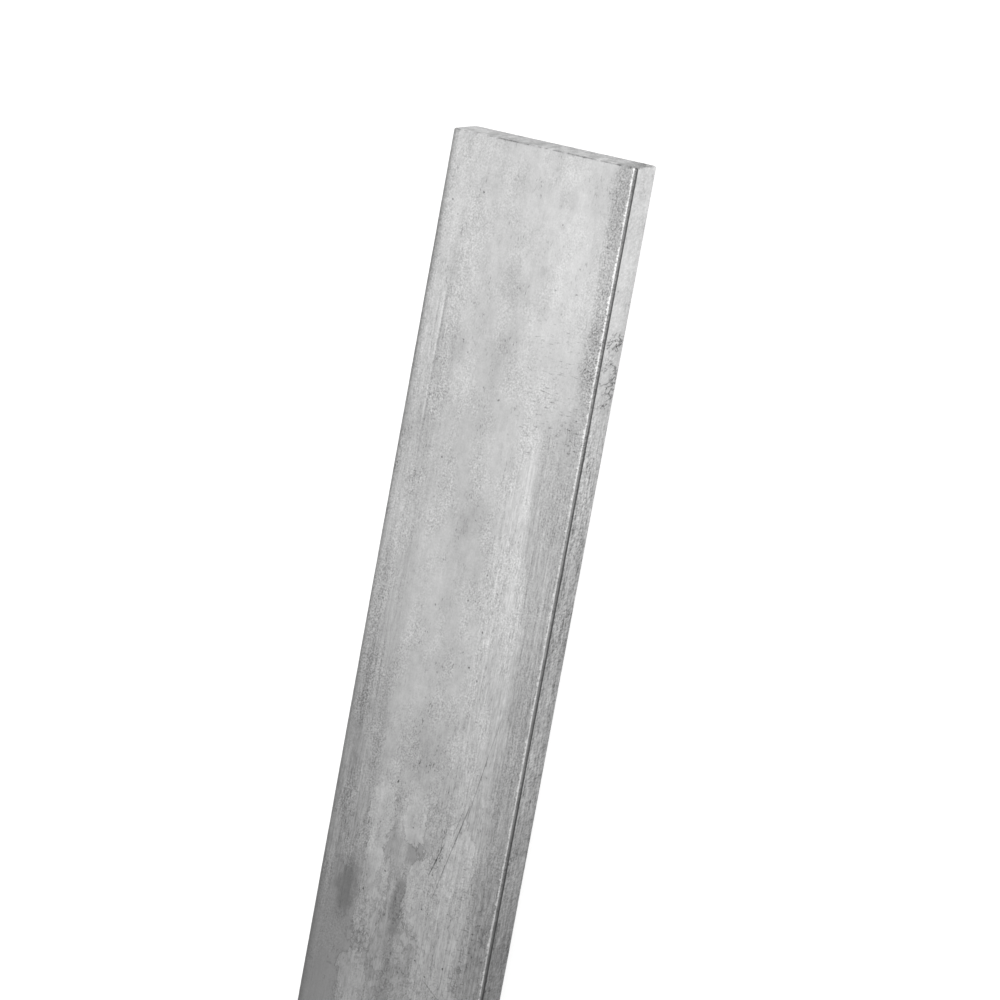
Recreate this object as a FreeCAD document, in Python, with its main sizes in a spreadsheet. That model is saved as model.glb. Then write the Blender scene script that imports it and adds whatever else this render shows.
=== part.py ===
"""Hot-rolled steel flat bar: one length of mill-finish stock, lying on its broad face.

The bar is a single rolled piece. Its section is a rectangle with a small rolled radius on each of the
four long corners, and both ends are sawn square with the sharp arris taken off.

Frame: the origin is the middle of the broad face that the bar lies on. +X runs along the bar, +Y
across its width and +Z up through its thickness. All sizes are in millimetres.
"""

import FreeCAD, Part
import math
import os

import Sketcher

PARTS_FOLDER = "parts"
NODE = "flat_bar"

# Driving dimensions: alias, value in millimetres, what it is
SIZES = [
    ("bar_length", 1000.0, "sawn length, end face to end face"),
    ("bar_width", 50.0, "across the broad faces"),
    ("bar_thickness", 15.0, "between the broad faces"),
    ("corner_radius", 1.0, "rolled radius of the long corners"),
    ("end_break", 0.3, "chamfer left where the saw cut is deburred"),
]


def make_size_sheet(doc):
    """The spreadsheet that drives every feature of the bar."""
    sheet = doc.addObject("Spreadsheet::Sheet", "Sizes")
    for row, (alias, value, meaning) in enumerate(SIZES, start=1):
        sheet.set(f"A{row}", alias)
        sheet.set(f"B{row}", str(value))
        sheet.setAlias(f"B{row}", alias)
        sheet.set(f"C{row}", meaning)
    doc.recompute()
    return sheet


def origin_plane(body, role):
    """One of the body's own origin planes, found by its role."""
    return next(plane for plane in body.Origin.OriginFeatures if plane.Role == role)


def draw_rolled_section(body, sheet):
    """The section across the bar: a rectangle on the floor line with four equal rolled corners."""
    width, height, radius = sheet.bar_width, sheet.bar_thickness, sheet.corner_radius
    half = width / 2
    sketch = body.newObject("Sketcher::SketchObject", "rolled_section")
    sketch.AttachmentSupport = (origin_plane(body, "YZ_Plane"), [""])
    sketch.MapMode = "FlatFace"

    # Four flats, anticlockwise from the bottom, each ending where the next corner's arc begins
    def point(y, z):
        return FreeCAD.Vector(y, z, 0)

    flats = [
        (point(-half + radius, 0), point(half - radius, 0)),
        (point(half, radius), point(half, height - radius)),
        (point(half - radius, height), point(-half + radius, height)),
        (point(-half, height - radius), point(-half, radius)),
    ]
    bottom, right, top, left = [sketch.addGeometry(Part.LineSegment(a, b), False) for a, b in flats]

    # One quarter arc after each flat, with its start angle
    centres = [
        (point(half - radius, radius), -math.pi / 2),
        (point(half - radius, height - radius), 0.0),
        (point(-half + radius, height - radius), math.pi / 2),
        (point(-half + radius, radius), math.pi),
    ]
    corners = [
        sketch.addGeometry(
            Part.ArcOfCircle(
                Part.Circle(centre, FreeCAD.Vector(0, 0, 1), radius), start, start + math.pi / 2
            ),
            False,
        )
        for centre, start in centres
    ]

    start_point, end_point = 1, 2
    loop = [bottom, corners[0], right, corners[1], top, corners[2], left, corners[3]]
    for this, following in zip(loop, loop[1:] + loop[:1]):
        sketch.addConstraint(
            Sketcher.Constraint("Tangent", this, end_point, following, start_point)
        )
    sketch.addConstraint(Sketcher.Constraint("Horizontal", top))
    for flat in (right, left):
        sketch.addConstraint(Sketcher.Constraint("Vertical", flat))
    for corner in corners[1:]:
        sketch.addConstraint(Sketcher.Constraint("Equal", corners[0], corner))

    # The section is centred on the upright axis, which also levels its bottom flat, and stands on
    # the horizontal one
    horizontal_axis, vertical_axis = -1, -2
    sketch.addConstraint(
        Sketcher.Constraint("Symmetric", bottom, start_point, bottom, end_point, vertical_axis)
    )
    sketch.addConstraint(
        Sketcher.Constraint("PointOnObject", bottom, start_point, horizontal_axis)
    )
    measured = [
        ("DistanceX", (left, start_point, right, start_point), width, "bar_width"),
        ("DistanceY", (bottom, start_point, top, start_point), height, "bar_thickness"),
        ("Radius", (corners[0],), radius, "corner_radius"),
    ]
    for kind, where, value, alias in measured:
        index = sketch.addConstraint(Sketcher.Constraint(kind, *where, value))
        sketch.renameConstraint(index, alias)
        sketch.setExpression(f"Constraints.{alias}", f"{sheet.Name}.{alias}")
    return sketch


def roll_bar(body, sketch, sheet):
    """The rolled length: the section drawn out equally to both sides of the origin."""
    pad = body.newObject("PartDesign::Pad", "rolled_length")
    pad.Profile = sketch
    pad.SideType = "Symmetric"
    pad.Length = sheet.bar_length
    pad.setExpression("Length", f"{sheet.Name}.bar_length")
    return pad


def end_face_names(solid):
    """Names of the two faces that look along the bar, one at each end."""
    names = []
    for number, face in enumerate(solid.Faces, start=1):
        normal = face.normalAt(0, 0)
        if abs(normal.x) > abs(normal.y) + abs(normal.z):
            names.append(f"Face{number}")
    return names


def deburr_sawn_ends(body, pad, sheet):
    """The small chamfer that the file leaves all round both saw cuts."""
    chamfer = body.newObject("PartDesign::Chamfer", "deburred_ends")
    chamfer.Base = (pad, end_face_names(pad.Shape))
    chamfer.Size = sheet.end_break
    chamfer.setExpression("Size", f"{sheet.Name}.end_break")
    return chamfer


def make_flat_bar(doc, sheet):
    """The whole bar as one PartDesign body."""
    body = doc.addObject("PartDesign::Body", NODE)
    body.Label = NODE
    sketch = draw_rolled_section(body, sheet)
    pad = roll_bar(body, sketch, sheet)
    doc.recompute()
    deburr_sawn_ends(body, pad, sheet)
    body.Placement = FreeCAD.Placement()
    doc.recompute()
    return body


def check_document(doc, bodies):
    """Stops with a plain message if a feature failed or a piece isn't a sound solid."""
    for item in doc.Objects:
        faults = {"Invalid", "Error"} & set(item.State)
        if faults:
            raise RuntimeError(f"{item.Label} is {', '.join(sorted(faults))}")
    for body in bodies:
        if body.Shape.isNull() or not body.Shape.isValid():
            raise RuntimeError(f"{body.Label} is not a valid shape")


def main():
    doc = FreeCAD.newDocument("flat_bar_stock")
    sheet = make_size_sheet(doc)
    bodies = [make_flat_bar(doc, sheet)]
    check_document(doc, bodies)
    os.makedirs(PARTS_FOLDER, exist_ok=True)
    for body in bodies:
        body.Shape.exportStep(os.path.join(PARTS_FOLDER, f"{body.Label}.step"))
        box = body.Shape.BoundBox
        print(f"{body.Label}: {box.XLength:.2f} x {box.YLength:.2f} x {box.ZLength:.2f} mm,",
              f"{len(body.Shape.Solids)} solid, {body.Shape.Volume:.1f} mm3")


main()
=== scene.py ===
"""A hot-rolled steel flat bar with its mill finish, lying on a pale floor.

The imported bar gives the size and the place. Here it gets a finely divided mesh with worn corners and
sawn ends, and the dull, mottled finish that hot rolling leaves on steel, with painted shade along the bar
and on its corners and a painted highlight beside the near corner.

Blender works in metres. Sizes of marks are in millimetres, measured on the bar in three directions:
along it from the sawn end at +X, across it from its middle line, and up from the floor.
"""

import math

import bmesh
import bpy
from mathutils import Matrix, Vector, noise


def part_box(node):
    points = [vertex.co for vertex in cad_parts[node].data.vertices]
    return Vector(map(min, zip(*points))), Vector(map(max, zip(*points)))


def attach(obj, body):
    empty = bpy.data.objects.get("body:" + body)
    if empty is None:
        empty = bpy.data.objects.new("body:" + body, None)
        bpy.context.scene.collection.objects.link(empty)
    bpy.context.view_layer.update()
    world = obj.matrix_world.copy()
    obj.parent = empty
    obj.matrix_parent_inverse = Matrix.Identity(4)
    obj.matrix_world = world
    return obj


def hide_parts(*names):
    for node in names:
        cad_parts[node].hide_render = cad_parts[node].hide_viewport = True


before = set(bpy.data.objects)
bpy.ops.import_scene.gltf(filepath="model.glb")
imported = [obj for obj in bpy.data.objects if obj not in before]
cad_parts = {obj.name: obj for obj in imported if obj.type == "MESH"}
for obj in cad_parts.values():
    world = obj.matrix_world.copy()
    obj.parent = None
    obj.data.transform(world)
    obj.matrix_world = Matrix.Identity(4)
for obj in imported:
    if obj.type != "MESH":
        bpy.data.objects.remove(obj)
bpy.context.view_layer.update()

MM = 0.001
NODE = "flat_bar"
BODY = "root"
LOW, HIGH = (Vector(corner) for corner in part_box(NODE))
LENGTH, WIDTH, THICKNESS = ((HIGH - LOW) / MM)


# Camera

# The photograph looks steeply down on the bar near its sawn end, with the bar running down the picture
VIEW_CENTRE = Vector((HIGH.x - 0.0895, -0.0052, HIGH.z))
VIEW_AZIMUTH = math.radians(-61.71)
VIEW_ELEVATION = math.radians(68.08)
VIEW_DISTANCE = 1.2612
VIEW_ROLL = math.radians(-106.10)
VIEW_LENS = 180.0


def place_camera():
    """The photograph's viewpoint, with a long lens and no shift."""
    outward = Vector((
        math.cos(VIEW_ELEVATION) * math.cos(VIEW_AZIMUTH),
        math.cos(VIEW_ELEVATION) * math.sin(VIEW_AZIMUTH),
        math.sin(VIEW_ELEVATION),
    ))
    lens = bpy.data.cameras.new("camera")
    lens.lens = VIEW_LENS
    camera = bpy.data.objects.new("camera", lens)
    level = (-outward).to_track_quat("-Z", "Y").to_matrix().to_4x4()
    turned = level @ Matrix.Rotation(VIEW_ROLL, 4, "Z")
    camera.matrix_world = Matrix.Translation(VIEW_CENTRE + VIEW_DISTANCE * outward) @ turned
    bpy.context.scene.collection.objects.link(camera)
    bpy.context.scene.camera = camera


# Shader arithmetic


class Signal:
    """One output socket of a node tree. Arithmetic on it adds the Math nodes."""

    def __init__(self, finish, socket):
        self.finish = finish
        self.socket = socket

    def combined(self, operation, *values):
        """A Math node with that operation on these sockets or numbers."""
        return self.finish.node("ShaderNodeMath", {"operation": operation}, dict(enumerate(values)))

    def __add__(self, other):
        return self.combined("ADD", self, other)

    def __radd__(self, other):
        return self.combined("ADD", other, self)

    def __sub__(self, other):
        return self.combined("SUBTRACT", self, other)

    def __rsub__(self, other):
        return self.combined("SUBTRACT", other, self)

    def __mul__(self, other):
        return self.combined("MULTIPLY", self, other)

    def __rmul__(self, other):
        return self.combined("MULTIPLY", other, self)

    def __truediv__(self, other):
        return self.combined("DIVIDE", self, other)

    def __rtruediv__(self, other):
        return self.combined("DIVIDE", other, self)

    def __pow__(self, other):
        return self.combined("POWER", self, other)

    def __abs__(self):
        return self.combined("ABSOLUTE", self)

    def at_most(self, limit):
        """This or the limit, whichever is lower."""
        return self.combined("MINIMUM", self, limit)

    def at_least(self, limit):
        """This or the limit, whichever is higher."""
        return self.combined("MAXIMUM", self, limit)

    def fade(self, start, stop):
        """0 at start, 1 at stop, with a smooth step between. Start may be the higher of the two."""
        return self.finish.node(
            "ShaderNodeMapRange",
            {"interpolation_type": "SMOOTHSTEP"},
            {"Value": self, "From Min": start, "From Max": stop},
        )

    def reach(self, limit, start, stop):
        """0 where it is start short of the limit, 1 where it is stop short, with a smooth step between."""
        return self.fade(limit - start, limit - stop)

    def between(self, rise, fall):
        """1 between two fades, each given as where it starts and where it is full, and 0 outside."""
        return self.fade(*rise) * self.fade(*fall)


class Finish:
    """A node tree under construction, of a material or of the world."""

    def __init__(self, owner):
        owner.use_nodes = True
        self.owner = owner
        self.tree = owner.node_tree
        self.tree.nodes.clear()

    def node(self, kind, settings=None, sockets=None, output=0):
        """Adds a node: its settings first, then the values or links of its sockets."""
        made = self.tree.nodes.new(kind)
        for name, value in (settings or {}).items():
            setattr(made, name, value)
        for name, value in (sockets or {}).items():
            if isinstance(value, Signal):
                self.tree.links.new(value.socket, made.inputs[name])
            else:
                made.inputs[name].default_value = value
        return Signal(self, made.outputs[output] if made.outputs else None)

    def stretched(self, point, lengths, seed=0.0):
        """The point divided by these lengths in millimetres, and moved to another part of the noise."""
        scale = tuple(1.0 / length for length in lengths)
        return self.node(
            "ShaderNodeVectorMath",
            {"operation": "MULTIPLY_ADD"},
            {0: point, 1: scale, 2: (seed, seed, seed)},
        )

    def noise(self, point, lengths, seed=0.0, detail=2.0, rough=0.5, warp=0.0):
        """Noise from about -1 to 1, whose blotches are about as long as these lengths in millimetres."""
        value = self.node(
            "ShaderNodeTexNoise",
            {"noise_dimensions": "3D"},
            {
                "Vector": self.stretched(point, lengths, seed),
                "Scale": 1.0,
                "Detail": detail,
                "Roughness": rough,
                "Distortion": warp,
            },
        )
        return value * 2.0 - 1.0


# The steel's finish

MILL_GREY = 0.48
BRIGHTEST = 0.92
DARKEST = 0.04
METALLIC = 0.25
ROUGHNESS = 0.64
SPECULAR = 0.3

# Where the upper face, an edge face and a sawn end start and are full, in millimetres short of each
TOP_REACH = (0.6, 0.1)
FLANK_REACH = (0.3, 0.05)
SAWN_REACH = (0.35, 0.2)

# Noise layers: lengths of the blotches in millimetres, along, across and up, then seed, detail,
# roughness and, where the pattern is bent, warp
LAYERS = {
    "cloud": ((42.0, 14.0, 30.0), 3.1, 2.0, 0.5),
    "pebble": ((13.0, 6.0, 20.0), 33.0, 2.0, 0.6),
    "ragged": ((12.0, 4.0, 4.0), 2.6, 3.0, 0.65),
    "mottle": ((9.0, 5.0, 12.0), 7.7, 4.0, 0.62),
    "dapple": ((2.6, 1.9, 5.0), 27.0, 2.0, 0.6),
    "grain": ((0.50, 0.44, 1.3), 1.3, 1.0, 0.7),
    "stripe": ((160.0, 2.4, 4.0), 9.4, 3.0, 0.6),
    "streak": ((16.0, 0.42, 1.3), 5.2, 2.0, 0.6),
    "dash": ((2.4, 0.36, 1.1), 6.6, 1.0, 0.6),
    "side_streak": ((16.0, 3.0, 1.5), 41.0, 3.0, 0.7),
    "side_dash": ((2.6, 3.0, 0.9), 43.0, 1.0, 0.6),
    "wander": ((90.0, 400.0, 400.0), 6.0, 1.0, 0.5),
    "gaps": ((30.0, 60.0, 60.0), 8.8, 2.0, 0.5),
    "jag": ((0.8, 2.0, 2.0), 4.4, 3.0, 0.7),
    "tick": ((0.42, 2.0, 4.0), 52.0, 2.0, 0.6),
    "pit_edge": ((0.5, 0.5, 1.0), 61.0, 0.0, 0.5),
    "fleck": ((1.2, 0.34, 1.4), 17.0, 1.0, 0.6),
    "side_fleck": ((0.6, 0.8, 1.9), 21.0, 1.0, 0.5),
    "bend": ((2.4, 2.4, 7.0), 14.0, 3.0, 0.65, 0.8),
    "tide": ((5.0, 3.4, 3.4), 11.0, 4.0, 0.7, 0.6),
    "saw": ((40.0, 1.7, 5.0), 15.0, 3.0, 0.65),
    "arris": ((60.0, 7.0, 60.0), 18.0, 2.0, 0.5),
}

# How strongly each mark brightens or darkens the steel, as a share of its plain tone
STRENGTH = {
    "cloud": 0.20,
    "grain": 1.15,
    "streak": 0.28,
    "dash": 0.28,
    "side_streak": 0.60,
    "side_dash": 0.55,
    "grainy": 0.20,
    "smooth": 0.14,
    "track": 0.12,
    "roll_lines": 0.28,
    "worn": 0.08,
    "pale": 0.06,
    "smudges": 0.12,
    "islands": 0.15,
    "outlines": 0.22,
    "dark_patches": 0.24,
    "scale": 0.06,
    "scratches": 0.5,
    "squiggles": 1.0,
    "ticks": 0.40,
    "curls": 0.24,
    "saw": 0.9,
    "arris": 0.4,
    "lip_highlight": 0.80,
}

# Zones of the finish, as where each starts and where it is full, in millimetres. Along is counted from
# the sawn end, and across from the middle line, with the near edge below 0
LOWER_ALONG = (130.0, 190.0)
NEAR_HALF_ACROSS = (1.0, -1.0)
GRAINY_ACROSS = (-19.3, -21.4)
SMOOTH_ACROSS = (-12.4, -15.2)
SMOOTH_ALONG = (62.0, 84.0)
SMOOTH_WIDENS_ALONG = (95.0, 125.0)
STRIP_ACROSS = (11.0, 17.0)
FAR_STRIP_ALONG = (85.0, 115.0)

# Where a band thins out along the bar, and the share of it that is lost there
GRAINY_THINS = ((50.0, 85.0), 0.85)
SMOOTH_THINS = ((165.0, 205.0), 0.6)

# How far the ragged noise moves a band's edge, and how much wider the smooth band gets, in millimetres
GRAINY_RAGGED = 2.4
SMOOTH_RAGGED = 1.6
SMOOTH_WIDER = 3.4

# The worn stripe: how far it lies to the near side at the sawn end, how much further with each
# millimetre along, how far it wanders, its fade to both sides, and where along it starts and stops
WORN_OFFSET = 5.1
WORN_DRIFT = 0.077
WORN_WANDER = 0.6
WORN_FADE = (2.6, 0.4)
WORN_ALONG = ((60.0, 76.0), (140.0, 105.0))

# How high the relief of a noise layer stands, in millimetres
GRAIN_HEIGHT = 0.007
DASH_HEIGHT = 0.003
SAW_HEIGHT = 0.06


class Steel(Finish):
    """The finish under construction, with where each point lies on the bar, in millimetres."""

    def __init__(self, name):
        super().__init__(bpy.data.materials.new(name))
        self.layers = {}
        place = self.node("ShaderNodeTexCoord", output="Object")
        self.point = self.node(
            "ShaderNodeVectorMath", {"operation": "SCALE"}, {0: place, "Scale": 1.0 / MM}
        )
        from_middle, self.across, self.up = (
            self.node("ShaderNodeSeparateXYZ", sockets={"Vector": self.point}, output=axis)
            for axis in "XYZ"
        )
        self.along = LENGTH / 2 - from_middle

        # How far a point is from the middle planes, and which face it is on
        self.half_width = WIDTH / 2
        self.half_height = THICKNESS / 2
        self.sideways = abs(self.across)
        self.off_middle = abs(self.up - self.half_height)
        self.top = self.up.reach(THICKNESS, *TOP_REACH)
        self.flank = self.sideways.reach(self.half_width, *FLANK_REACH)
        self.near_half = self.across.fade(*NEAR_HALF_ACROSS)
        self.sawn = abs(self.along - LENGTH / 2).reach(LENGTH / 2, *SAWN_REACH)

        # Zones that several marks share. The lower part, further along, is the one with the tide marks
        self.lower = self.along.fade(*LOWER_ALONG)
        self.grainy, self.smooth = self.near_bands()
        self.strip = self.across.fade(*STRIP_ACROSS) * self.top
        self.far_strip = self.strip * self.along.fade(*FAR_STRIP_ALONG)
        self.worn = self.worn_stripe()

    def layer(self, name):
        """A noise layer, made when it is first asked for."""
        if name not in self.layers:
            self.layers[name] = self.noise(self.point, *LAYERS[name])
        return self.layers[name]

    def thinned(self, zone, share):
        """1 before a zone along the bar, and less by that share past it."""
        return 1.0 - self.along.fade(*zone) * share

    def near_bands(self):
        """A grainy dark band along the near edge, and a smoother one inside it that starts further on."""
        across, ragged = self.across, self.layer("ragged")
        grainy = (across + ragged * GRAINY_RAGGED).fade(*GRAINY_ACROSS) * self.thinned(*GRAINY_THINS)
        wider = self.along.fade(*SMOOTH_WIDENS_ALONG) * SMOOTH_WIDER
        smooth = (across + ragged * SMOOTH_RAGGED + wider).fade(*SMOOTH_ACROSS)
        smooth = smooth * self.along.fade(*SMOOTH_ALONG) * self.thinned(*SMOOTH_THINS)
        upper_side = 1.0 - self.flank
        return grainy * upper_side, smooth * upper_side

    def worn_stripe(self):
        """A pale worn stripe beside the smooth band, which drifts to the near side along the bar."""
        place = self.across + WORN_OFFSET + self.along * WORN_DRIFT
        stripe = abs(place + self.layer("wander") * WORN_WANDER).fade(*WORN_FADE)
        return stripe * self.along.between(*WORN_ALONG) * self.top


def ellipse(along, aside, centre, reach):
    """0 at a place and 1 on an ellipse round it, given as millimetres along and aside."""
    off_along = (along - centre[0]) / reach[0]
    off_aside = (aside - centre[1]) / reach[1]
    return (off_along * off_along + off_aside * off_aside) ** 0.5


def patch_distance(steel, centre, reach):
    """How far a point is from a place on the upper face, in half sizes of the patch there."""
    return ellipse(steel.along, steel.across, centre, reach)


def side_distance(steel, centre, reach):
    """How far a point is from a place on an edge face, in half sizes of the mark there."""
    return ellipse(steel.along, steel.up, centre, reach)


# Scratches on the upper face: both ends as millimetres along and across, half width, and depth
SCRATCHES = (
    ((143.0, -16.6), (154.5, -14.6), 0.15, 0.5),
    ((150.0, -15.3), (175.0, -11.6), 0.17, 0.8),
    ((164.0, -13.2), (195.5, -6.3), 0.21, 1.0),
    ((166.0, -11.6), (181.0, -8.4), 0.13, 0.5),
    ((178.5, -7.6), (190.5, -4.1), 0.19, 1.0),
    ((215.5, -7.4), (221.5, -14.8), 0.20, 0.8),
)

# The share of a scratch's length that tapers at each end, and of its width that is at full depth
SCRATCH_TAPER = 0.25
SCRATCH_CORE = 0.3

# Soft dull smudges: centre and half size as millimetres along and across, and depth
SMUDGES = (
    ((31.9, -5.7), (4.0, 3.6), 0.9),
    ((38.5, -6.1), (3.5, 3.4), 0.9),
    ((34.5, 2.5), (5.5, 4.0), 1.0),
    ((11.4, -8.7), (4.0, 2.6), 0.8),
    ((10.5, 2.8), (5.0, 2.4), 0.7),
    ((55.1, 1.2), (8.0, 2.6), 0.9),
    ((53.0, 13.6), (6.0, 3.4), 0.9),
    ((69.0, -0.3), (5.0, 3.2), 0.6),
    ((79.0, 8.6), (6.0, 3.4), 0.6),
    ((96.3, 1.8), (5.0, 5.5), 0.8),
    ((118.3, 5.9), (6.0, 3.6), 0.6),
    ((137.0, 9.5), (7.0, 4.2), 0.7),
    ((158.0, 4.0), (8.0, 5.0), 0.9),
)

# How uneven a smudge's edge is, and where it fades, both in half sizes of the smudge
SMUDGE_RAGGED = 1.1
SMUDGE_FADE = (1.3, 0.1)

# Pale islands of the tide marks: centre and half size
ISLANDS = (
    ((176.4, 10.6), (9.5, 3.2)),
    ((174.5, 1.2), (8.0, 3.2)),
    ((197.5, 10.0), (13.0, 4.4)),
    ((194.5, -2.2), (9.5, 3.6)),
    ((222.0, 11.5), (9.5, 4.2)),
    ((205.0, -11.0), (34.0, 6.5)),
)

# Dark patches between the islands: centre, half size, and depth
DARK_PATCHES = (
    ((197.5, 17.2), (8.5, 3.0), 1.0),
    ((198.8, 2.3), (8.8, 2.2), 1.3),
    ((183.8, -0.4), (4.5, 3.4), 0.9),
    ((184.0, 8.0), (4.5, 5.0), 0.4),
    ((219.0, 2.4), (12.0, 2.2), 0.7),
)

# The dark patch that also cuts into the islands round it
CUTTING_PATCH = DARK_PATCHES[0]

# Where an island, the cut and a dark patch fade, in their own half sizes
ISLAND_FADE = (1.5, 0.2)
CUT_FADE = (1.5, 0.9)
PATCH_FADE = (1.2, 0.55)

# The islands rise from a ragged ground and show where it is above the shore. Their outlines lie a
# little below the shore
GROUND_RAGGED = 0.85
GROUND_DEPTH = 0.35
SHORE = (-0.02, 0.07)
OUTLINE_DEPTH = 0.025
OUTLINE_FADE = (0.06, 0.0)

# Where the islands, their outlines and the dark scale begin along the bar, and the scale across it
ISLANDS_ALONG = (150.0, 180.0)
OUTLINES_ALONG = (162.0, 175.0)
SCALE_ALONG = (183.0, 206.0)
SCALE_ACROSS = (7.0, 14.0)
SCALE_RAGGED = 4.0

# Groups of curled marks on the near edge face: centre and half size along and up, and depth
CURL_GROUPS = (
    ((36.6, 2.5), (2.0, 3.0), 0.4),
    ((45.2, 7.0), (2.8, 6.0), 0.9),
    ((50.4, 10.0), (2.2, 4.5), 0.6),
    ((54.6, 3.4), (3.0, 3.4), 0.7),
    ((57.8, 5.0), (2.4, 5.0), 0.9),
    ((61.4, 7.0), (0.7, 5.5), 0.6),
)

# The large hooked mark beside them: centre and half size along and up, and where it ends above
HOOK = ((53.0, 9.4), (2.7, 7.0))
HOOK_UP = (15.0, 12.0)


def scratch(steel, start, stop, width):
    """A thin line on the upper face between two points, given as millimetres along and across."""
    reach = Vector(stop) - Vector(start)
    length = reach.length
    course = reach / length
    from_along = steel.along - start[0]
    from_across = steel.across - start[1]
    run = from_along * course.x + from_across * course.y
    off = abs(from_across * course.x - from_along * course.y)
    taper = length * SCRATCH_TAPER
    ends = run.between((0.0, taper), (length, length - taper))
    return off.fade(width, width * SCRATCH_CORE) * ends


def scratches(steel):
    """Long fine scratches that cross the drawn streaks at a slant."""
    lines = sum(scratch(steel, start, stop, width) * depth for start, stop, width, depth in SCRATCHES)
    return lines * steel.top


def smudges(steel):
    """Soft dull places with uneven edges."""
    uneven = steel.layer("ragged") * SMUDGE_RAGGED
    return sum(
        (patch_distance(steel, centre, reach) + uneven).fade(*SMUDGE_FADE) * depth
        for centre, reach, depth in SMUDGES
    )


def stains(steel):
    """Tide marks: how pale the islands are, their thin outlines, and the smooth dark scale between."""
    along, edge = steel.along, steel.layer("tide")
    ground = edge * GROUND_RAGGED - GROUND_DEPTH
    for centre, reach in ISLANDS:
        ground = ground + patch_distance(steel, centre, reach).fade(*ISLAND_FADE)
    centre, reach, depth = CUTTING_PATCH
    ground = ground - patch_distance(steel, centre, reach).fade(*CUT_FADE) * depth
    islands = ground.fade(*SHORE) * along.fade(*ISLANDS_ALONG) * steel.top
    outlines = abs(ground + OUTLINE_DEPTH).fade(*OUTLINE_FADE) * along.fade(*OUTLINES_ALONG) * steel.top
    patches = sum(
        (patch_distance(steel, centre, reach) + edge * 0.8).fade(*PATCH_FADE) * depth
        for centre, reach, depth in DARK_PATCHES
    )
    patches = patches * steel.top * (1.0 - islands * 0.75)
    scale = (steel.across + steel.layer("ragged") * SCALE_RAGGED).fade(*SCALE_ACROSS)
    scale = scale * along.fade(*SCALE_ALONG) * steel.top * (1.0 - islands * 0.7)
    return islands, outlines, patches, scale


# Curled edges of scale: the level of the dapple that they follow, its fade, and where they lie
CURL_LEVEL = 0.08
CURL_FADE = (0.13, 0.02)
CURLS_ALONG = (178.0, 205.0)
CURLS_ACROSS = (18.0, 12.0)


def curls(steel):
    """Thin curled edges of scale among the tide marks."""
    curl = abs(steel.layer("dapple") + CURL_LEVEL).fade(*CURL_FADE)
    curl = curl * (steel.layer("ragged") + steel.layer("mottle")).fade(-0.05, 0.15)
    return curl * steel.along.fade(*CURLS_ALONG) * steel.across.fade(*CURLS_ACROSS) * steel.top


def squiggles(steel):
    """Curled dark marks on the near edge face, a little way from the sawn end."""
    bend = steel.layer("bend")
    fleck = steel.layer("side_fleck").fade(0.10, 0.34)
    marked = sum(
        side_distance(steel, centre, reach).fade(1.25, 0.7) * depth
        for centre, reach, depth in CURL_GROUPS
    )
    marks = marked * (abs(bend).fade(0.085, 0.01) + fleck * 0.55)
    hook = abs(side_distance(steel, *HOOK) + bend * 0.6 - 1.0).fade(0.13, 0.02)
    hook = hook * steel.up.fade(*HOOK_UP) * (fleck + bend).fade(-0.25, 0.2)
    return steel.flank * steel.near_half * (marks * 0.8 + hook * 0.6)


# Where the ticks lie: a place near the end, and a later one. Two zones are both sides of a place
TICKS_ACROSS = (-4.0, -8.0)
TICKS_ALONG = ((38.0, 46.0), (84.0, 70.0))
LATE_TICKS_ACROSS = ((-10.0, -14.0), (-22.0, -19.0))
LATE_TICKS_ALONG = (176.0, 192.0)


def ticks(steel):
    """Short dark strokes straight across the bar, in one place near the end and one further on."""
    along, across = steel.along, steel.across
    places = across.fade(*TICKS_ACROSS) * along.between(*TICKS_ALONG)
    places = places + across.between(*LATE_TICKS_ACROSS) * along.fade(*LATE_TICKS_ALONG)
    return steel.layer("tick").fade(0.2, 0.42) * places * steel.top


# Pits: the size of the cells in millimetres, along, across and up, and a pit's rim as shares of a cell
PIT_CELLS = (3.4, 2.8, 5.0)
PIT_RIM = (0.115, 0.05)

# Each cell draws a lot from 0 to 1: where pits begin to show, and where they are full
PITTED = (0.62, 0.86)


def pits(steel):
    """Small sharp pits in some of the cells of a Voronoi pattern, and finer flecks in the dull patches."""
    cells = {"Vector": steel.stretched(steel.point, PIT_CELLS), "Scale": 1.0, "Randomness": 1.0}
    distance = steel.node("ShaderNodeTexVoronoi", {"feature": "F1"}, cells, output="Distance")
    lot = steel.node("ShaderNodeTexVoronoi", {"feature": "F1"}, cells, output="Color")
    chosen = steel.node("ShaderNodeSeparateColor", sockets={"Color": lot})
    dull = (steel.layer("mottle") * -1.0).fade(-0.05, 0.35)
    pit = (distance + steel.layer("pit_edge") * 0.09).fade(*PIT_RIM)
    pit = pit * (chosen + dull * 0.25).fade(*PITTED)
    return pit * 1.4 + steel.layer("fleck").fade(0.22, 0.38) * (0.15 + dull * 0.85)


# Thin roll lines: the millimetres across where each lies, and its half width. A pale one parts the two
# dark ones, and all have their full strength this near their middle
DARK_LINE = (18.7, 0.42)
SECOND_LINE = (20.3, 0.45)
PALE_LINE = (19.3, 0.4)
LINE_CORE = 0.08

# Where along the lines start, where they thin out and how much, and where they come back
LINES_ALONG = (22.0, 36.0)
LINES_THIN = ((70.0, 80.0), 0.85)
LINES_BACK_ALONG = (128.0, 138.0)
LINES_END = ((185.0, 210.0), 0.8)

# The smooth track beside them: millimetres across, its fade to both sides, and its start and stop along
TRACK_ACROSS = 22.1
TRACK_FADE = (1.5, 0.5)
TRACK_ALONG = ((95.0, 112.0), (185.0, 150.0))

# How far lines and track wander, and how far and where along they bend towards the middle
LINES_WANDER = 0.7
LINES_BEND = 0.9
LINES_BEND_ALONG = (120.0, 175.0)

# Where the dull strip gets duller still
DULLER_ALONG = (105.0, 150.0)


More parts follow.
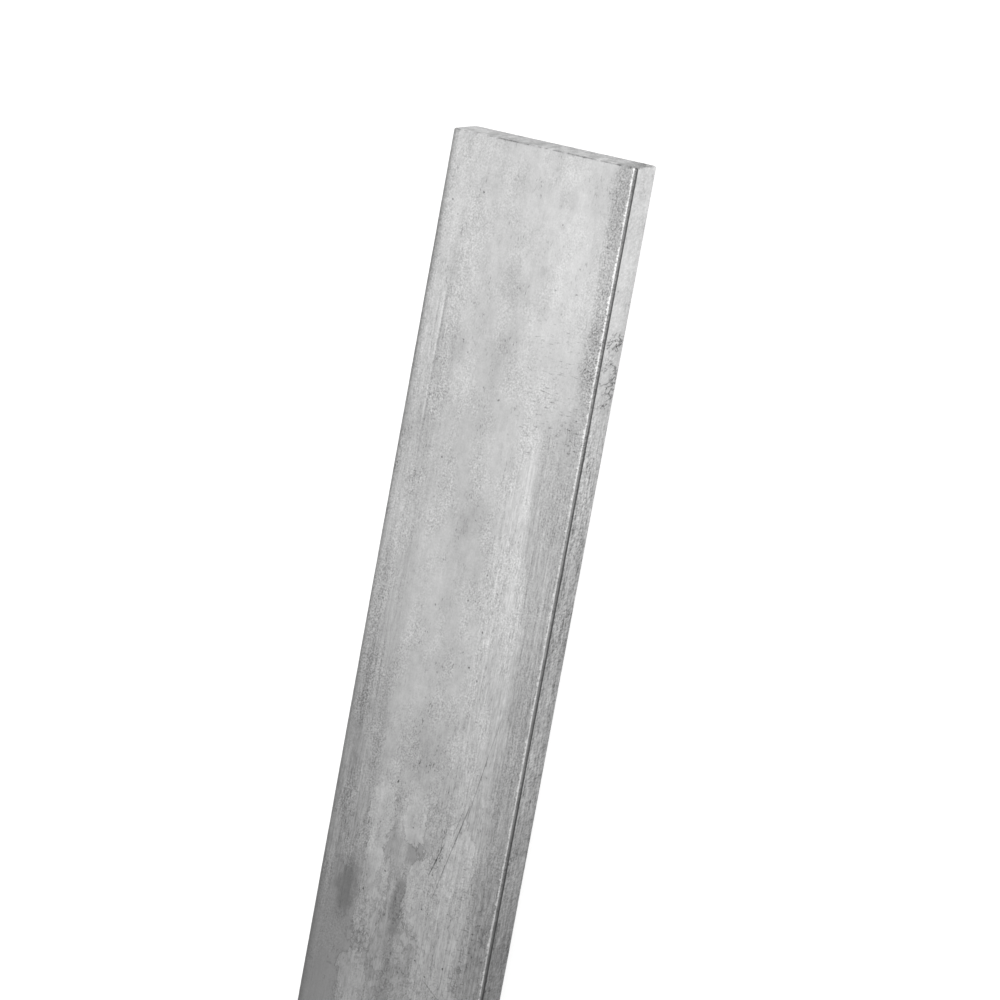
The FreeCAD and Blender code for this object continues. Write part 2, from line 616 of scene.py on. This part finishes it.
def roll_line(place, centre, half_width):
    """A thin line along the bar, that many millimetres across it."""
    return abs(place - centre).fade(half_width, LINE_CORE)


def roll_lines(steel, place):
    """Thin broken lines that the rollers leave in the far edge's strip."""
    lines = roll_line(place, *DARK_LINE) + roll_line(place, *SECOND_LINE) * 0.8
    lines = lines - roll_line(place, *PALE_LINE) * 0.8
    lines = lines * steel.layer("gaps").fade(-0.3, 0.2) * steel.top
    lines = lines * steel.along.fade(*LINES_ALONG) * steel.thinned(*LINES_END)
    return lines * (steel.thinned(*LINES_THIN) + steel.along.fade(*LINES_BACK_ALONG) * 0.35)


def far_edge(steel):
    """How much darker the far edge is: its dull strip, thin roll lines and, further on, a smooth track."""
    along = steel.along
    bend = along.fade(*LINES_BEND_ALONG) * LINES_BEND
    place = steel.across + steel.layer("wander") * LINES_WANDER + bend
    dull = steel.strip * (along.fade(*LINES_ALONG) * 0.08 + along.fade(*DULLER_ALONG) * 0.09)
    track = abs(place - TRACK_ACROSS).fade(*TRACK_FADE) * along.between(*TRACK_ALONG)
    return dull + track * STRENGTH["track"] + roll_lines(steel, place) * STRENGTH["roll_lines"]


# The painted shadow below the broken upper arris, in millimetres below the upper face, and how much darker
# a sawn end is in all, and with each millimetre to the near side
ARRIS_REACH = (0.8, 0.3)
SAWN_DARK = 0.04
SAWN_SLOPE = 0.004


def sawn_marks(steel):
    """How much darker the sawn ends are: saw marks, and a painted shadow line below the broken upper arris.
    """
    saw = steel.sawn * (SAWN_DARK + steel.layer("saw") * STRENGTH["saw"] - steel.across * SAWN_SLOPE)
    # A painted shadow just below the broken upper arris of each sawn end
    arris = steel.sawn * steel.up.reach(THICKNESS, *ARRIS_REACH) * steel.layer("arris").fade(-0.3, 0.2)
    return saw + arris * STRENGTH["arris"]


# The painted shade on the rounded corners, in millimetres short of the broad faces, or of the edge faces:
# on the near side where it starts and where it darkens once more, and on the far side
CORNER_SHADE_HEIGHT = (1.0, 0.86)
NEAR_CORNER_SHADE = (0.84, 0.66)
NEAR_CORNER_SHADE_DARKENS = (0.66, 0.08)
FAR_CORNER_SHADE = (2.3, 0.1)

# Where along the far corner's painted shade gets darker, and paler again
FAR_CORNER_SHADE_DARKENS_ALONG = (4.0, 30.0)
FAR_CORNER_SHADE_PALES_ALONG = (60.0, 90.0)

# The painted highlight beside the near corner: its inner and its outer side, and where along it gets
# fainter
LIP_INNER = (1.22, 1.00)
LIP_OUTER = (0.70, 0.80)
LIP_THINS = ((20.0, 100.0), 0.42)


def corner_shade_and_highlight(steel):
    """Painted shade on the rounded corners, and a painted highlight beside it on the near side."""
    along, sideways, half, jag = steel.along, steel.sideways, steel.half_width, steel.layer("jag")
    # Painted shade on the rounded corners, the near one and the far one
    on_face = steel.off_middle.reach(steel.half_height, *CORNER_SHADE_HEIGHT)
    near = sideways.reach(half, *NEAR_CORNER_SHADE)
    near = near * (0.36 + sideways.reach(half, *NEAR_CORNER_SHADE_DARKENS) * 0.52)
    depth = 0.38 + along.fade(*FAR_CORNER_SHADE_DARKENS_ALONG) * 0.14 - along.fade(*FAR_CORNER_SHADE_PALES_ALONG) * 0.16
    far = (sideways + jag * 0.5).reach(half, *FAR_CORNER_SHADE) * depth
    corner = on_face * (far + (near - far) * steel.near_half)
    # A ragged painted highlight on the upper face beside the near corner
    lip_highlight = (sideways + jag * 0.9).reach(half, *LIP_INNER) * sideways.reach(half, *LIP_OUTER)
    lip_highlight = lip_highlight * steel.near_half * steel.top
    lip_highlight = lip_highlight * (0.85 + jag * 0.9) * steel.thinned(*LIP_THINS)
    return corner, lip_highlight


# Where along the pebbled patches and the far strip's stripes come in
PEBBLES_ALONG = (35.0, 75.0)
STRIPES_ALONG = (14.0, 34.0)

# Where the drawn streaks lie: the near part and the far strip, across and along, and the last part
NEAR_STREAKS_ACROSS = (-3.0, -9.0)
NEAR_STREAKS_ALONG = (55.0, 100.0)
FAR_STREAKS_ACROSS = (13.0, 17.0)
FAR_STREAKS_ALONG = (25.0, 50.0)
LAST_STREAKS_ALONG = (175.0, 200.0)


def grain_tone(steel, drawn_side, calm):
    """Fine grain: coarse where the face is pebbled and in the bands, and fainter on calm scale."""
    pebbled = steel.layer("pebble").fade(-0.22, 0.28) * (1.0 - steel.smooth * 0.5)
    gain = 0.11 + pebbled * (0.25 + steel.along.fade(*PEBBLES_ALONG) * 0.18)
    gain = gain + steel.grainy * 0.38 + steel.smooth * 0.08 + steel.strip * 0.16 - steel.far_strip * 0.14
    gain = gain * (1.0 - calm * 0.5) * (1.0 - steel.flank * 0.35) + drawn_side * 0.50
    return steel.layer("grain") * gain * STRENGTH["grain"]


def streak_tone(steel, calm):
    """Streaks that drawing over the rollers leaves on the upper face, and the far strip's broad stripes."""
    along, across, lower = steel.along, steel.across, steel.lower
    places = across.fade(*NEAR_STREAKS_ACROSS) * along.fade(*NEAR_STREAKS_ALONG) * (1.0 - lower * 0.5)
    places = places + across.fade(*FAR_STREAKS_ACROSS) * along.fade(*FAR_STREAKS_ALONG) * 0.4
    places = places + lower * 0.44 + along.fade(*LAST_STREAKS_ALONG) * 0.22 + 0.14
    gain = places * (1.0 - calm * 0.8)
    fine = steel.layer("streak") * STRENGTH["streak"] + steel.layer("dash") * STRENGTH["dash"]
    striped = (steel.strip - steel.far_strip * 0.65) * along.fade(*STRIPES_ALONG)
    return fine * gain + steel.layer("stripe") * (gain * 0.20 + striped * 0.23)


# Where along the painted shade darkens the whole bar, first a little and then more, and where it darkens
# its edge faces
SHADE_ALONG = (20.0, 100.0)
DEEPER_SHADE_ALONG = (110.0, 230.0)
FLANK_SHADE_ALONG = (15.0, 120.0)


def painted_shade(steel):
    """Painted shade: how the steel darkens along the bar away from the lit sawn end, on the upper face and
    more on the edge faces.
    """
    along = steel.along
    upper = 1.0 - along.fade(*SHADE_ALONG) * 0.07 - along.fade(*DEEPER_SHADE_ALONG) * 0.38
    return upper * (1.0 - steel.flank * (0.02 + along.fade(*FLANK_SHADE_ALONG) * 0.24))


# Where along the edge faces begin to be drawn in full
DRAWN_SIDE_ALONG = (52.0, 78.0)

# How far to the near side the paler part of the upper face lies, and its fade to both sides
PALE_OFFSET = 9.5
PALE_FADE = (12.0, 3.0)


def mill_tone(steel):
    """How bright the steel is at each point, where plain mill grey is 1."""
    lower = steel.lower
    islands, outlines, patches, scale = stains(steel)
    calm = (patches + scale).at_most(1.0)
    quiet = (1.0 - calm * 0.7) * (1.0 - steel.far_strip * 0.5) * (1.0 - steel.smooth * 0.5)
    mottled = steel.layer("mottle") * (0.20 + lower * 0.14) + steel.layer("dapple") * (0.14 + lower * 0.14)

    # The edge faces are drawn too, more so away from the end
    drawn_side = steel.flank * (0.2 + steel.along.fade(*DRAWN_SIDE_ALONG) * 0.8)
    side_streaks = (
        steel.layer("side_streak") * STRENGTH["side_streak"]
        + steel.layer("side_dash") * STRENGTH["side_dash"]
    )

    pale = abs(steel.across + PALE_OFFSET).fade(*PALE_FADE)
    brighter = {"worn": steel.worn, "pale": pale, "islands": islands}
    darker = {
        "grainy": steel.grainy,
        "smooth": steel.smooth,
        "smudges": smudges(steel),
        "outlines": outlines,
        "dark_patches": patches,
        "scale": scale,
        "scratches": scratches(steel),
        "squiggles": squiggles(steel),
        "ticks": ticks(steel),
        "curls": curls(steel),
    }
    tone = 1.0 + steel.layer("cloud") * STRENGTH["cloud"] + mottled * quiet
    tone = tone + grain_tone(steel, drawn_side, calm) + streak_tone(steel, calm)
    tone = tone + drawn_side * side_streaks
    for name, mark in brighter.items():
        tone = tone + mark * STRENGTH[name]
    for name, mark in darker.items():
        tone = tone - mark * STRENGTH[name]
    tone = tone - far_edge(steel) - sawn_marks(steel)
    tone = tone - pits(steel) * quiet * (0.36 + lower * 0.26)
    # Painted shade along the bar and on the rounded corners, and a painted highlight beside the near corner
    corner, lip_highlight = corner_shade_and_highlight(steel)
    return tone * painted_shade(steel) * (1.0 - corner) + lip_highlight * STRENGTH["lip_highlight"]


def mill_finish():
    """Dull grey hot-rolled steel: mottled, with grainy edges, roll lines, pits, scratches and stains, and
    with painted shade and a painted highlight.
    """
    steel = Steel("mill_finish")
    colour = (mill_tone(steel) * MILL_GREY).at_most(BRIGHTEST).at_least(DARKEST)
    grain = steel.layer("grain")
    rough = ROUGHNESS + steel.layer("mottle") * 0.06 + grain * 0.05
    rough = rough - steel.worn * 0.06 + steel.grainy * 0.06
    height = grain * GRAIN_HEIGHT + steel.layer("dash") * DASH_HEIGHT
    height = height + steel.layer("saw") * steel.sawn * SAW_HEIGHT
    normal = steel.node(
        "ShaderNodeBump", sockets={"Strength": 1.0, "Distance": MM, "Height": height}
    )
    shader = steel.node(
        "ShaderNodeBsdfPrincipled",
        sockets={
            "Base Color": colour,
            "Metallic": METALLIC,
            "Roughness": rough,
            "Specular IOR Level": SPECULAR,
            "Normal": normal,
        },
    )
    steel.node("ShaderNodeOutputMaterial", sockets={"Surface": shader})
    return steel.owner


# The bar

CELLS_ACROSS = 18
CELLS_UP = 6
CORNER_RADIUS = 1.0 * MM
CORNER_STEPS = 5
END_BREAK = 0.3 * MM
STATION_PITCH = 0.78 * MM

# How closely an edge follows an axis, a face looks along the bar, and a point lies on a plane
STRAIGHT = 0.99
SQUARE = 0.9
TOUCH = MM / 100

# How deep the corners are worn and the long waves go, and how far in from a corner the wear reaches
WEAR_DEPTH = 0.10 * MM
WAVE_DEPTH = 0.06 * MM
WEAR_REACH_MM = 1.6

# The wear is even in part, and otherwise follows a fine chatter and a slower swell
EVEN_WEAR = 0.5
CHATTER_WEAR = 0.35
SWELL_WEAR = 0.5

# Lengths of the ripples in millimetres, along, across and up
CHATTER = (1.4, 3.0, 3.0)
SWELL = (9.0, 9.0, 9.0)
WAVES = (70.0, 25.0, 25.0)


def edges_along(shape, axis):
    """The edges that run along one axis."""
    found = []
    for edge in shape.edges:
        course = edge.verts[1].co - edge.verts[0].co
        if abs(course[axis]) > STRAIGHT * course.length:
            found.append(edge)
    return found


def is_corner_line(edge):
    """Whether an edge lies on one of the four long corners of the box."""
    middle = (edge.verts[0].co + edge.verts[1].co) / 2
    on_side = min(abs(middle.y - LOW.y), abs(middle.y - HIGH.y)) < TOUCH
    on_face = min(abs(middle.z - LOW.z), abs(middle.z - HIGH.z)) < TOUCH
    return on_side and on_face


def is_end_rim(edge):
    """Whether an edge lies between a sawn end and a long face."""
    squareness = [abs(face.normal.x) > SQUARE for face in edge.link_faces]
    return any(squareness) and not all(squareness)


def bevel(shape, edges, offset, steps):
    """Rounds edges off in that many steps, or breaks them flat in one."""
    bmesh.ops.bevel(
        shape, geom=edges, offset=offset, offset_type="OFFSET", segments=steps, profile=0.5,
        affect="EDGES", material=-1, clamp_overlap=True,
    )


def rolled_blank():
    """The bar as one closed shape, divided finely, with rolled corners and deburred ends."""
    shape = bmesh.new()
    bmesh.ops.create_cube(shape, size=1.0)
    bmesh.ops.scale(shape, vec=HIGH - LOW, verts=shape.verts)
    bmesh.ops.translate(shape, vec=(LOW + HIGH) / 2, verts=shape.verts)
    for axis, cells in ((1, CELLS_ACROSS), (2, CELLS_UP)):
        bmesh.ops.subdivide_edges(
            shape, edges=edges_along(shape, axis), cuts=cells - 1, use_grid_fill=True
        )
    long_corners = [edge for edge in edges_along(shape, 0) if is_corner_line(edge)]
    bevel(shape, long_corners, CORNER_RADIUS, CORNER_STEPS)
    shape.normal_update()
    bevel(shape, [edge for edge in shape.edges if is_end_rim(edge)], END_BREAK, 1)
    stations = round((HIGH.x - LOW.x) / STATION_PITCH)
    long_edges = [edge for edge in edges_along(shape, 0) if edge.calc_length() > LENGTH * MM / 2]
    bmesh.ops.subdivide_edges(shape, edges=long_edges, cuts=stations - 1)
    shape.normal_update()
    return shape


def ripple(place, lengths):
    """Noise from -1 to 1 at a place in millimetres, with ripples about as long as these lengths."""
    return noise.noise(Vector([part / length for part, length in zip(place, lengths)]))


def wear_down(shape):
    """Takes a little off the surface: uneven corners, and the long waves that rolling leaves."""
    half = Vector((0.0, HIGH.y, (HIGH.z - LOW.z) / 2))
    for vert in shape.verts:
        place = vert.co / MM
        to_side = (half.y - abs(vert.co.y)) / MM
        to_face = (half.z - abs(vert.co.z - half.z)) / MM
        cornered = max(0.0, 1.0 - max(to_side, to_face) / WEAR_REACH_MM)
        uneven = CHATTER_WEAR * ripple(place, CHATTER) + SWELL_WEAR * ripple(place, SWELL)
        worn = WEAR_DEPTH * cornered * (EVEN_WEAR + uneven)
        worn += WAVE_DEPTH * (0.5 + 0.5 * ripple(place, WAVES))
        vert.co -= vert.normal * max(0.0, worn)


def make_bar():
    """The bar's visible piece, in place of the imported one."""
    shape = rolled_blank()
    for edge in shape.edges:
        edge.smooth = not is_end_rim(edge)
    for face in shape.faces:
        face.smooth = True
    wear_down(shape)
    mesh = bpy.data.meshes.new("rolled_bar")
    shape.to_mesh(mesh)
    shape.free()
    bar = bpy.data.objects.new("rolled_bar", mesh)
    bpy.context.scene.collection.objects.link(bar)
    mesh.materials.append(mill_finish())
    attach(bar, BODY)
    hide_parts(NODE)
    return bar


# Floor and light

WHITE = (1.0, 1.0, 1.0, 1.0)
FLOOR_HALF = 6.0
FLOOR_GAP = 0.2 * MM
FLOOR_GLOW = 0.80
FLOOR_GREY = 0.36


def make_floor():
    """A wide pale floor that shows white, and a little darker in the bar's shadow."""
    shape = bmesh.new()
    bmesh.ops.create_grid(shape, x_segments=1, y_segments=1, size=FLOOR_HALF)
    bmesh.ops.translate(shape, vec=(0.0, 0.0, LOW.z - FLOOR_GAP), verts=shape.verts)
    mesh = bpy.data.meshes.new("floor")
    shape.to_mesh(mesh)
    shape.free()
    floor = bpy.data.objects.new("floor", mesh)
    bpy.context.scene.collection.objects.link(floor)

    paint = Finish(bpy.data.materials.new("floor_paint"))
    glow = paint.node(
        "ShaderNodeEmission",
        sockets={"Color": WHITE, "Strength": seen_directly(paint) * FLOOR_GLOW},
    )
    grey = (FLOOR_GREY, FLOOR_GREY, FLOOR_GREY, 1.0)
    matt = paint.node("ShaderNodeBsdfDiffuse", sockets={"Color": grey})
    both = paint.node("ShaderNodeAddShader", sockets={0: glow, 1: matt})
    paint.node("ShaderNodeOutputMaterial", sockets={"Surface": both})

    # The glow is only seen, directly or in gloss, so no light samples are spent on it
    paint.owner.cycles.emission_sampling = "NONE"
    mesh.materials.append(paint.owner)


CEILING_LIGHT = 0.35
WALL_LIGHT = 1.0
FILL_LIGHT = 0.58

# How high a ray looks where the walls end and the ceiling is full, as the upward part of its direction
CEILING_RISE = (0.25, 0.75)


def seen_directly(finish):
    """1 for the rays of the camera, of gloss and through glass, and 0 for those that only light things."""
    camera_ray, glossy_ray, clear_ray = (
        finish.node("ShaderNodeLightPath", output=name)
        for name in ("Is Camera Ray", "Is Glossy Ray", "Is Transmission Ray")
    )
    return camera_ray.at_least(glossy_ray).at_least(clear_ray)


def make_world():
    """An even soft fill, seen as white walls round the floor and a dimmer ceiling."""
    world = bpy.data.worlds.new("studio")
    bpy.context.scene.world = world
    studio = Finish(world)
    direction = studio.node("ShaderNodeTexCoord", output="Generated")
    height = studio.node("ShaderNodeSeparateXYZ", sockets={"Vector": direction}, output="Z")
    shown = WALL_LIGHT + (CEILING_LIGHT - WALL_LIGHT) * height.fade(*CEILING_RISE)
    strength = FILL_LIGHT + seen_directly(studio) * (shown - FILL_LIGHT)
    glow = studio.node("ShaderNodeBackground", sockets={"Color": WHITE, "Strength": strength})
    studio.node("ShaderNodeOutputWorld", sockets={"Surface": glow})

    # The fill is the same from all sides, so chance rays gather it as well as light samples would
    world.cycles.sampling_method = "NONE"


# Soft lamps: name, point of the bar that each looks at, place from there, size in metres, and watts
OVER_END = Vector((HIGH.x, 0.0, HIGH.z))
OVER_REST = Vector((LOW.x / 2, 0.0, HIGH.z))
SOFTBOXES = (
    ("over_end", OVER_END, Vector((-0.02, 0.18, 0.55)), (0.30, 0.30), 1.54),
    ("near_side", OVER_END, Vector((0.12, -0.32, 0.10)), (0.20, 0.20), 1.36),
    ("over_rest", OVER_REST, Vector((0.0, 0.0, 0.36)), (0.50, 0.20), 0.55),
)


def add_softbox(name, aim, offset, size, power):
    """A soft rectangular lamp that looks at a point of the bar."""
    lamp = bpy.data.lights.new(name, "AREA")
    lamp.shape = "RECTANGLE"
    lamp.size, lamp.size_y = size
    lamp.energy = power
    softbox = bpy.data.objects.new(name, lamp)
    softbox.location = aim + offset
    softbox.rotation_euler = (aim - softbox.location).to_track_quat("-Z", "Y").to_euler()
    softbox.visible_camera = False
    bpy.context.scene.collection.objects.link(softbox)


def light_bar():
    """A soft lamp over the sawn end, one low on the near side, and one over the rest of the bar."""
    for softbox in SOFTBOXES:
        add_softbox(*softbox)


bpy.context.scene.view_settings.view_transform = "Standard"
place_camera()
make_floor()
make_world()
light_bar()
make_bar()
